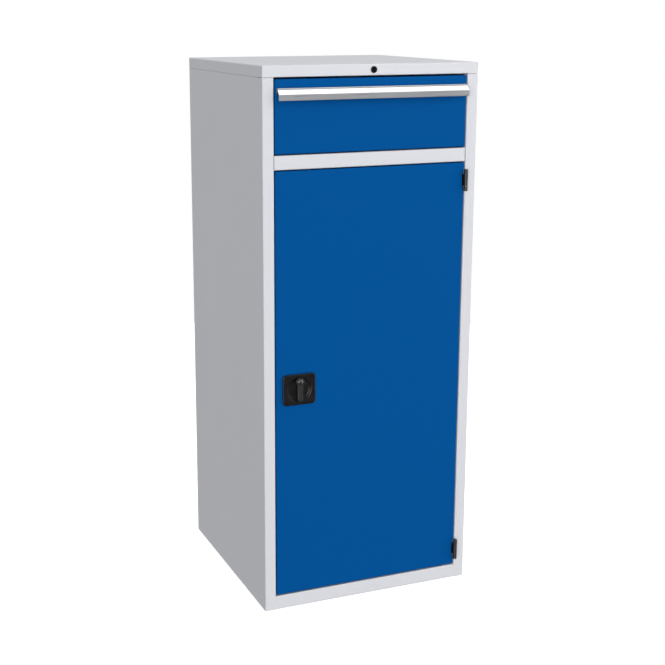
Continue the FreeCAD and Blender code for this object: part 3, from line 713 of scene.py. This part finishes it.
@dataclass
class Handle:
    """The extruded handle strip along the drawer front, with its label under a clear cover.

    Its outline is given by how far a point stands out from the drawer front and how far it lies
    below the strip's top. A black plug closes the hollow behind the label at each end; its black
    is partly painted shade, dark where the open end of the profile would lie in shadow.
    """

    wall: float = 1.8 * MM
    top_reach: float = 8.5 * MM
    band: float = 3.0 * MM
    slope_drop: float = 10.4 * MM
    lip: float = 11.8 * MM
    base: float = 12.0 * MM
    groove: float = 0.7 * MM
    bead: float = 0.8 * MM
    bead_start: float = 0.8 * MM
    outer_radius: float = 1.9 * MM
    inner_radius: float = 0.6 * MM
    edge_radius: float = 0.3 * MM
    plug_thickness: float = 2.0 * MM
    plug_sink: float = 0.3 * MM
    strip_bevel: float = 0.2 * MM
    label_bevel: float = 0.05 * MM
    cover_bevel: float = 0.15 * MM
    sharp_angle: float = 50.0
    label_margin: float = 0.9 * MM
    label_levels: tuple[float, float] = (0.03 * MM, 0.27 * MM)
    cover_levels: tuple[float, float] = (0.32 * MM, 0.8 * MM)
    reach: float = field(init=False)

    def __post_init__(self) -> None:
        """Reads off the strip's box how far its lip stands out."""
        low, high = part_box("handle_strip")
        self.reach = high.y - low.y

    def slope(self) -> tuple[np.ndarray, np.ndarray, np.ndarray, np.ndarray]:
        """Works out the slope that the label lies on.

        Returns:
            Its upper end, its lower end, the unit way down it and the unit way out of it.
        """
        start = np.array([self.top_reach, self.band])
        end = np.array([self.reach, self.band + self.slope_drop])
        down = (end - start) / np.linalg.norm(end - start)
        return start, end, down, np.array([down[1], -down[0]])

    def hollow(self) -> list[tuple[float, float]]:
        """Lists the corners of the hollow behind the label.

        Returns:
            The corners as reach and drop, from the lip's root to the base plate.
        """
        _, end, down, _ = self.slope()
        inner_top = self.top_reach - self.wall
        shift = self.wall * math.tan(math.atan2(down[0], down[1]) / 2)
        return [(self.reach - self.wall, end[1] + shift), (inner_top, self.band + shift),
                (inner_top, self.wall), (self.wall, self.wall)]

    def outline(self) -> np.ndarray:
        """Draws the section: base plate, top, band, groove, label slope with its bead, and lip.

        Returns:
            The rounded outline as reach and drop.
        """
        slope_top, slope_end, down, out = self.slope()
        upper = slope_top + down * self.bead_start
        lower = slope_end - down * self.bead_start
        corners = [
            ((0.0, self.base), self.edge_radius),
            ((0.0, 0.0), self.edge_radius),
            ((self.top_reach, 0.0), self.outer_radius),
            ((self.top_reach, self.band - self.groove), self.edge_radius),
            ((self.top_reach - self.groove, self.band - self.groove / 2), self.edge_radius / 3),
            (upper, self.edge_radius / 3),
            (lower, self.edge_radius / 3),
            (lower + out * self.bead, self.edge_radius),
            ((self.reach, slope_end[1] - self.bead / 2), self.edge_radius),
            ((self.reach, slope_end[1] + self.lip), self.wall / 2 - self.edge_radius / 3),
            ((self.reach - self.wall, slope_end[1] + self.lip), self.wall / 2 - self.edge_radius / 3),
            *[(corner, self.inner_radius) for corner in self.hollow()],
            ((self.wall, self.base), self.edge_radius),
        ]
        points = np.array([point for point, _ in corners])
        return rounded_loop(points, np.array([radius for _, radius in corners]))

    def sheet(self, levels: tuple[float, float]) -> np.ndarray:
        """Draws the section of a sheet that lies on the slope between its groove and its bead.

        Args:
            levels: The heights of its back and of its face over the slope.

        Returns:
            The outline as reach and drop.
        """
        start, end, down, out = self.slope()
        start = start + down * self.label_margin
        end = end - down * self.label_margin
        back, face = levels
        return np.array([start + out * back, start + out * face, end + out * face, end + out * back])

    def build(self) -> None:
        """Draws the strip, the label and the cover along their lengths, and closes the strip's ends with black
        plugs that are partly painted shade.
        """
        low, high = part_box("handle_strip")
        label = self.sheet(self.label_levels)
        cover = self.sheet(self.cover_levels)
        pieces = (
            ("handle_extrusion", "handle_strip", self.outline(), ANODISED, self.strip_bevel),
            ("label_card", "label_strip", label, WHITE_CARD, self.label_bevel),
            ("label_clear_cover", "label_cover", cover, CLEAR_COVER, self.cover_bevel),
        )
        for name, node, section, finish, bevel in pieces:
            left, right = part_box(node)
            loop = np.array([high.y, high.z]) - section
            surface = drawn(loop, Along.X, (left.x, right.x))
            add_piece(name, [surface], finish, node, bevel=bevel, sharp=self.sharp_angle)
        # The end plugs are black partly as painted shade: they darken the profile's open ends, where shadow would
        # fall.
        plug = np.array([high.y, high.z]) - np.array([*self.hollow(), (self.wall, self.base)])
        near = self.plug_sink
        far = self.plug_sink + self.plug_thickness
        plugs = [drawn(plug, Along.X, (low.x + near, low.x + far)),
                 drawn(plug, Along.X, (high.x - far, high.x - near))]
        add_piece("handle_end_plugs_painted_shade", plugs, POLYAMIDE, "handle_strip", bevel=self.edge_radius / 2)


@dataclass
class Drawer:
    """The drawer on its two runners."""

    handle: Handle = field(default_factory=Handle)
    screws: CrossScrews = field(default_factory=lambda: CrossScrews(
        "drawer_pan_screws", "drawer_front_screws", head_diameter=8.0 * MM, head_height=2.0 * MM,
        shank_diameter=4.0 * MM))
    runner_kinds: tuple[str, ...] = ("cabinet_rail", "middle_rail", "drawer_rail", "outer_cage",
                                     "inner_cage")

    def build(self) -> None:
        """Makes the handle and the screws."""
        self.handle.build()
        self.screws.build()

    def dress(self) -> None:
        """Coats the front and the tray, and plates the runners."""
        dress(("drawer_front",), BLUE_COAT)
        dress(("drawer_tray", "runner_brackets"), GREY_COAT)
        rails = [f"runner_{kind}_{side}" for kind in self.runner_kinds for side in ("left", "right")]
        dress(tuple(rails), ZINC)


@dataclass
class KeyPlug:
    """A lock's turning plug with an upright key slot in a slightly domed face.

    Rings run from the floor of the slot up its walls, over the face and its quarter-round rim,
    and down the plug's side. A face ring is a mix of the slot's outline and the plug's circle.
    The dome falls with the square of the distance from the middle.
    """

    name: str
    node: str
    finish: Finish
    slot_width: float = 1.4 * MM
    slot_share: float = 0.62
    slot_depth: float = 6.0 * MM
    slot_corner: float = 0.4 * MM
    lift: float = 0.0
    dome: float = 0.2 * MM
    rim: float = 0.4 * MM
    rim_steps: int = 6
    face_rings: int = 9
    columns: int = 96

    def build(self) -> None:
        """Makes the plug."""
        low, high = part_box(self.node)
        radius = (high.x - low.x) / 2
        place = Facing((low.x + high.x) / 2, low.y - self.lift, (low.z + high.z) / 2)
        half_slot = self.slot_share * radius
        slot = rounded_rectangle(self.slot_width / 2, half_slot, self.slot_corner, self.columns)
        angles = full_turn(self.columns)
        face = circle(radius - self.rim, angles)
        side = circle(radius, angles)
        rows = [place.ring(slot * 0.0, -self.slot_depth), place.ring(slot, -self.slot_depth)]
        for share in np.linspace(0.0, 1.0, self.face_rings):
            loop = slot + (face - slot) * share
            rows.append(place.ring(loop, -self.dome * (np.linalg.norm(loop, axis=1) / radius) ** 2))
        back = place.y - high.y
        rows += place.rolled_edge(side, -self.dome, self.rim, self.rim, self.rim_steps)[1:]
        rows += [place.ring(side, back), place.ring(face * 0.0, back)]
        add_piece(self.name, [Surface(np.stack(rows))], self.finish, self.node)


@dataclass
class DrawerLock:
    """The round lock in the cap's skirt: a turned black housing, its plug, nut and cam."""

    bezel_height: float = 2.0 * MM
    barrel_diameter: float = 12.5 * MM
    bore_diameter: float = 8.1 * MM
    sink: float = 0.9 * MM
    sink_width: float = 1.2 * MM
    edge: float = 1.3 * MM
    edge_steps: int = 8
    columns: int = 96
    plug: KeyPlug = field(default_factory=lambda: KeyPlug(
        "drawer_key_plug", "drawer_lock_plug", BLACK_NICKEL))

    def build(self) -> None:
        """Turns the housing: bore, sunk mouth, flat face, quarter-round edge, flange and barrel."""
        low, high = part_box("drawer_lock_body")
        radius = (high.x - low.x) / 2
        front = low.y + self.bezel_height
        place = Facing((low.x + high.x) / 2, front, (low.z + high.z) / 2)
        bore = self.bore_diameter / 2
        barrel = self.barrel_diameter / 2
        back = front - high.y
        turn = quarter_turn(self.edge_steps)
        edge = np.stack([radius - self.edge * (1 - np.sin(turn)),
                         self.bezel_height - self.edge * (1 - np.cos(turn))], axis=-1)
        mouth = self.bezel_height - self.sink
        profile = np.vstack([
            [(bore, back), (bore, mouth), (bore + self.sink_width, self.bezel_height)],
            edge,
            [(radius, 0.0), (barrel, 0.0), (barrel, back)],
        ])
        grid = place.lathe(profile, self.columns)
        add_piece("drawer_lock_housing", [Surface(grid, ring=True)], POLYAMIDE, "drawer_lock_body")
        self.plug.build()

    def dress(self) -> None:
        """Plates the nut and the cam."""
        dress(("drawer_lock_nut", "drawer_lock_cam"), ZINC)


@dataclass
class Hinge:
    """One hinge: the door's knuckle turns between two knuckles of the frame."""

    name: str
    leaf_sheet: float = 1.2 * MM
    knuckle_gap: float = 0.6 * MM
    web_clearance: float = 0.5 * MM
    rounding: float = 0.45 * MM
    steps: int = 64

    def knuckle(self, radius: float, leaf: tuple[float, float], back: float,
                span: tuple[float, float]) -> Surface:
        """Draws a knuckle: most of a circle, and a straight leaf that leaves it to the back.

        Args:
            radius: The radius of the circle.
            leaf: The leaf's limits along X.
            back: Where the leaf ends.
            span: The knuckle's limits along Z.

        Returns:
            The closed surface.
        """
        axis = joint_place("door_hinge")
        start = math.acos((leaf[1] - axis.x) / radius)
        end = math.acos((leaf[0] - axis.x) / radius) - 2 * math.pi
        arc = circle(radius, np.linspace(start, end, self.steps), (axis.x, axis.y))
        loop = np.vstack([arc, [(leaf[0], back), (leaf[1], back)]])
        return drawn(loop, Along.Z, span)

    def build(self) -> None:
        """Makes the door's leaf with one knuckle, and the frame's with two and a web between them."""
        axis = joint_place("door_hinge")
        node = f"hinge_door_leaf_{self.name}"
        low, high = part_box(node)
        radius = high.x - axis.x
        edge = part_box("door_panel")[1].x - self.leaf_sheet
        leaf = (edge - self.leaf_sheet, edge)
        middle = (low.z, high.z)
        surfaces = [self.knuckle(radius, leaf, high.y, middle)]
        add_piece(f"hinge_door_knuckle_{self.name}", surfaces, BLACK_STEEL, node, bevel=self.rounding)
        node = f"hinge_frame_leaf_{self.name}"
        low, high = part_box(node)
        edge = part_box("plinth_rail")[1].x
        leaf = (edge - self.leaf_sheet, edge)
        lower = (low.z, middle[0] - self.knuckle_gap)
        upper = (middle[1] + self.knuckle_gap, high.z)
        surfaces = [self.knuckle(radius, leaf, high.y, span) for span in (lower, upper)]
        front = axis.y + radius + self.web_clearance
        web = np.array([(leaf[0], front), (leaf[1], front), (leaf[1], high.y), (leaf[0], high.y)])
        surfaces.append(drawn(web, Along.Z, (lower[1], upper[0])))
        add_piece(f"hinge_frame_knuckles_{self.name}", surfaces, BLACK_STEEL, node, bevel=self.rounding)


@dataclass
class DoorBuffers:
    """Two rubber pads on the door stops, each a low cushion with rounded edges."""

    pad_height: float = 16.0 * MM
    corner: float = 2.0 * MM
    edge: float = 0.9 * MM
    steps: int = 5
    columns: int = 64

    def build(self) -> None:
        """Makes both pads: a rounded rectangle that rolls over into a flat top."""
        low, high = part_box("door_buffers")
        half_x = (high.x - low.x) / 2
        half_z = self.pad_height / 2
        loop = rounded_rectangle(half_x, half_z, self.corner, self.columns)
        height = high.y - low.y
        surfaces = []
        for z in (low.z + half_z, high.z - half_z):
            place = Facing(low.x + half_x, high.y, z)
            rolled = place.rolled_edge(loop, height, self.edge, self.edge, self.steps)
            rows = [place.ring(loop * 0.0, height), *rolled, place.ring(loop, 0.0)]
            rows.append(place.ring(loop * 0.0, 0.0))
            surfaces.append(Surface(np.stack(rows)))
        add_piece("door_rubber_pads", surfaces, RUBBER, "door_buffers")


@dataclass
class Door:
    """The door pan with its hinges, stops and pads."""

    hinges: tuple[Hinge, ...] = (Hinge("top"), Hinge("bottom"))
    buffers: DoorBuffers = field(default_factory=DoorBuffers)

    def build(self) -> None:
        """Makes the hinges and the pads."""
        for hinge in self.hinges:
            hinge.build()
        self.buffers.build()

    def dress(self) -> None:
        """Coats the door and its stops, and finishes the hinge pins and washers."""
        dress(("door_panel", "door_stiffener"), BLUE_COAT)
        dress(("door_stops",), GREY_COAT)
        dress(("hinge_pins",), ZINC)
        dress(("hinge_washers",), BRASS)


@dataclass
class LeverLock:
    """The lever lock: plate with a finger dish, lever, key plug, and the works behind the door."""

    plate_edge: float = 1.6 * MM
    plate_edge_drop: float = 1.0 * MM
    plate_corner: float = 8.0 * MM
    dish_radius: float = 28.5 * MM
    dish_slope: float = 5.5 * MM
    dish_floor: float = 1.0 * MM
    sleeve_hole: float = 8.0 * MM
    dish_rings: int = 48
    plate_columns: int = 240
    bar_width: float = 12.0 * MM
    bar_corner: float = 4.0 * MM
    sleeve_diameter: float = 15.0 * MM
    plug_diameter: float = 11.0 * MM
    plug_length: float = 13.0 * MM
    plug_play: float = 0.05 * MM
    bore_edge: float = 0.4 * MM
    lever_lift: float = 0.5 * MM
    lever_edge: float = 1.2 * MM
    lever_rings: int = 8
    lever_columns: int = 200
    hub_points: int = 160
    corner_steps: int = 23
    edge_steps: int = 8
    plug: KeyPlug = field(default_factory=lambda: KeyPlug(
        "lever_key_plug", "lever_plug", CHROME, lift=1.0 * MM, dome=0.9 * MM, rim=0.7 * MM))
    screws: CrossScrews = field(default_factory=lambda: CrossScrews(
        "lock_pan_screws", "lock_case_screws", head_diameter=6.0 * MM, head_height=1.8 * MM,
        shank_diameter=3.0 * MM, recess=0.9 * MM))

    def build_plate(self) -> None:
        """Makes the plate, a ring of outlines that grow from the sleeve's hole to the outer edge.

        Rings in the dish are circles whose centre moves from the hole to the middle of the plate
        as they grow. The dish is level inside and climbs to the face along a smooth cubic of the
        distance from the middle.
        """
        low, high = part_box("lock_plate")
        place = Facing((low.x + high.x) / 2, high.y, (low.z + high.z) / 2)
        face = high.y - low.y
        outer = rounded_rectangle((high.x - low.x) / 2, (high.z - low.z) / 2, self.plate_corner,
                                  self.plate_columns)
        angles = np.arctan2(outer[:, 1], outer[:, 0])
        rise = joint_place("lever_turn").z - place.z
        rows = [place.ring(circle(self.sleeve_hole, angles, (0.0, rise)), 0.0)]
        for share in np.linspace(0.0, 1.0, self.dish_rings):
            radius = self.sleeve_hole + (self.dish_radius - self.sleeve_hole) * share
            loop = circle(radius, angles, (0.0, rise * (1 - share)))
            climb = smooth_step(np.linalg.norm(loop, axis=1), self.dish_radius - self.dish_slope,
                                self.dish_radius)
            rows.append(place.ring(loop, self.dish_floor + (face - self.dish_floor) * climb))
        rows += place.rolled_edge(outer, face, self.plate_edge, self.plate_edge_drop, self.edge_steps)
        rows.append(place.ring(outer, 0.0))
        add_piece("lever_lock_plate", [Surface(np.stack(rows), ring=True)], POLYAMIDE, "lock_plate")

    def lever_outline(self, hub: float, length: float) -> np.ndarray:
        """Draws the lever from the front: a round hub, and a straight bar that hangs from it.

        The bar meets the hub where the hub's circle is as wide as the bar.

        Args:
            hub: The radius of the hub.
            length: The distance from the pivot to the end of the bar.

        Returns:
            The evenly spaced points about the pivot, anticlockwise from the right.
        """
        half = self.bar_width / 2
        root = math.acos(half / hub)
        over = circle(hub, np.linspace(-root, math.pi + root, self.hub_points))
        corner = self.bar_corner
        quarter = quarter_turn(self.corner_steps)
        left = circle(corner, math.pi + quarter, (corner - half, corner - length))
        right = circle(corner, 1.5 * math.pi + quarter, (half - corner, corner - length))
        return resampled(np.vstack([over, left, right]), self.lever_columns)

    def build_lever(self) -> None:
        """Makes the lever as rings from the floor of its bore, over its face, to its sleeve's end.

        A face ring is a mix of the bore's circle and the outline.
        """
        pivot = joint_place("lever_turn")
        low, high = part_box("door_lever")
        door_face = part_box("lock_plate")[1].y
        place = Facing(pivot.x, door_face, pivot.z)
        face = door_face - low.y
        back = door_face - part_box("lock_plate")[0].y + self.lever_lift
        outline = self.lever_outline((high.x - low.x) / 2, pivot.z - low.z)
        angles = np.arctan2(outline[:, 1], outline[:, 0])
        bore = self.plug_diameter / 2 + self.plug_play
        floor = face - self.plug_length
        rim = circle(bore + self.bore_edge, angles)
        top = inset(outline, self.lever_edge)
        rows = [place.ring(rim * 0.0, floor), place.ring(circle(bore, angles), floor)]
        rows.append(place.ring(circle(bore, angles), face - self.bore_edge))
        for share in np.linspace(0.0, 1.0, self.lever_rings)[:-1]:
            rows.append(place.ring(rim + (top - rim) * share, face))
        rows += place.rolled_edge(outline, face, self.lever_edge, self.lever_edge, self.edge_steps)
        rows.append(place.ring(outline, back + self.bore_edge))
        rows.append(place.ring(inset(outline, self.bore_edge), back))
        sleeve = circle(self.sleeve_diameter / 2, angles)
        for depth in (back, door_face - high.y):
            rows.append(place.ring(sleeve, depth))
        rows.append(place.ring(sleeve * 0.0, door_face - high.y))
        add_piece("lever_moulding", [Surface(np.stack(rows))], GRAPHITE, "door_lever")

    def build(self) -> None:
        """Makes the plate, the lever, its plug and the screws of the case."""
        self.build_plate()
        self.build_lever()
        self.plug.build()
        self.screws.build()

    def dress(self) -> None:
        """Plates the works and gives the rod guides the plate's plastic."""
        dress(("lock_body", "lock_case", "lock_rod_top", "lock_rod_bottom", "lever_spindle",
               "lever_pinion"), ZINC)
        dress(("rod_guides",), POLYAMIDE)


# Studio


@dataclass
class SoftLight:
    """A large soft light: where it stands, its size and how bright its surface is."""

    name: str
    place: Point
    aim: Point
    size: tuple[float, float]
    power: float

    def build(self) -> None:
        """Sets the light up, turned towards its aim."""
        lamp = bpy.data.lights.new(self.name, "AREA")
        lamp.shape = "RECTANGLE"
        lamp.size, lamp.size_y = self.size
        lamp.energy = self.power
        light = bpy.data.objects.new(self.name, lamp)
        light.location = self.place
        way = Vector(self.aim) - Vector(self.place)
        light.rotation_euler = way.to_track_quat("-Z", "Y").to_euler()
        bpy.context.scene.collection.objects.link(light)


@dataclass(frozen=True)
class Glow:
    """A broad soft patch of light in the surround.

    It is full in its own direction and falls to nothing where the cosine of the angle from that
    direction reaches the edge value.
    """

    azimuth: float
    elevation: float
    edge: float
    strength: float


@dataclass
class Studio:
    """A pale floor, a white surround with soft light from the front and above, and the camera.

    The camera's values come from the edges of the cupboard in the photograph. Its axis is held
    near the middle of the frame, so that views from other sides keep the whole cupboard.
    """

    image_side: float = 665.0
    focal_pixels: float = 1252.94
    axis_column: float = 300.8
    axis_row: float = 300.0
    azimuth: float = -22.074
    elevation: float = 12.955
    place: Point = (-1.1439, -2.6541, 1.3059)
    sensor: float = 36.0
    floor_radius: float = 2.4
    floor_drop: float = 0.2 * MM
    floor_rings: int = 9
    floor_columns: int = 96
    around: float = 0.2
    below: float = 0.19
    horizon: float = 0.1
    glows: tuple[Glow, ...] = (
        Glow(-30.0, 0.0, 0.84, 5.2),
        Glow(75.0, 5.0, 0.62, 1.8),
        Glow(180.0, 75.0, 0.6, 1.45),
        Glow(165.0, 20.0, 0.5, 0.3),
    )
    lights: tuple[SoftLight, ...] = (
        SoftLight("overhead_softbox", (0.75, -1.9, 2.5), (0.0, -0.25, 0.9), (0.9, 0.45), 10.0),
        SoftLight("low_strip", (0.52, -2.75, 0.65), (-0.17, -0.25, 0.53), (0.9, 0.14), 1.2),
    )

    def build_floor(self) -> None:
        """Lays the floor, a round flat sheet of rings that shrink to its middle."""
        angles = full_turn(self.floor_columns)
        radii = np.linspace(self.floor_radius, 0.0, self.floor_rings)
        loops = [circle(radius, angles) for radius in radii]
        points = np.stack([np.insert(loop, Along.Z.value, -self.floor_drop, axis=1) for loop in loops])
        mesh = bpy.data.meshes.new("studio_floor")
        mesh.from_pydata(points.reshape(-1, 3).tolist(), [], Surface(points).faces(0))
        mesh.materials.append(FLOOR_PAINT.material())
        floor = bpy.data.objects.new("studio_floor", mesh)
        floor.visible_diffuse = False
        floor.visible_glossy = False
        floor.visible_shadow = False
        bpy.context.scene.collection.objects.link(floor)

    def build_surround(self) -> None:
        """Makes the surround: plain white behind the cupboard, and the glows that light it.

        The light from a direction is an even level, a little less below the horizon, plus the
        share of each glow there. A glow's share is a smooth step of the cosine to its direction.
        """
        world = bpy.data.worlds.new("white_studio")
        bpy.context.scene.world = world
        world.use_nodes = True
        tree = world.node_tree
        tree.nodes.clear()
        way = add_node(tree, "ShaderNodeTexCoord").outputs["Generated"]
        height = add_node(tree, "ShaderNodeSeparateXYZ", inputs={0: way}).outputs["Z"]
        total = add_node(tree, "ShaderNodeMapRange", inputs={
            "Value": height, 1: -self.horizon, 2: self.horizon, 3: self.below, 4: self.around}).outputs[0]
        for glow in self.glows:
            cosine = add_node(tree, "ShaderNodeVectorMath", {"operation": "DOT_PRODUCT"},
                              {0: way, 1: direction(glow.azimuth, glow.elevation)}).outputs["Value"]
            share = add_node(tree, "ShaderNodeMapRange", {"interpolation_type": "SMOOTHSTEP"},
                             {"Value": cosine, 1: glow.edge, 2: 1.0, 3: 0.0, 4: glow.strength}).outputs[0]
            total = add_node(tree, "ShaderNodeMath", {"operation": "ADD"}, {0: total, 1: share}).outputs[0]
        white = (1.0, 1.0, 1.0, 1.0)
        lit = add_node(tree, "ShaderNodeBackground", inputs={"Color": white, "Strength": total})
        plain = add_node(tree, "ShaderNodeBackground", inputs={"Color": white})
        seen = add_node(tree, "ShaderNodeLightPath").outputs["Is Camera Ray"]
        both = add_node(tree, "ShaderNodeMixShader",
                        inputs={0: seen, 1: lit.outputs[0], 2: plain.outputs[0]})
        add_node(tree, "ShaderNodeOutputWorld", inputs={"Surface": both.outputs[0]})

    def build_camera(self) -> None:
        """Sets the camera at the photograph's place, with a small shift for its framing."""
        lens = bpy.data.cameras.new("photo_camera")
        lens.sensor_width = self.sensor
        lens.lens = self.focal_pixels / self.image_side * self.sensor
        lens.shift_x = 0.5 - self.axis_column / self.image_side
        lens.shift_y = self.axis_row / self.image_side - 0.5
        camera = bpy.data.objects.new("photo_camera", lens)
        camera.location = self.place
        way = -direction(self.azimuth, self.elevation)
        camera.rotation_euler = way.to_track_quat("-Z", "Y").to_euler()
        bpy.context.scene.collection.objects.link(camera)
        bpy.context.scene.camera = camera

    def build(self) -> None:
        """Builds the whole studio and sets a plain display transform."""
        self.build_floor()
        self.build_surround()
        for light in self.lights:
            light.build()
        self.build_camera()
        bpy.context.scene.view_settings.view_transform = "Standard"


def main() -> None:
    """Builds and dresses the sub-assemblies, then the studio."""
    logging.basicConfig(level=logging.INFO, format="%(name)s: %(message)s")
    for assembly in (Carcass(), Drawer(), DrawerLock(), Door(), LeverLock()):
        assembly.build()
        assembly.dress()
    Studio().build()


if __name__ == "__main__":
    main()
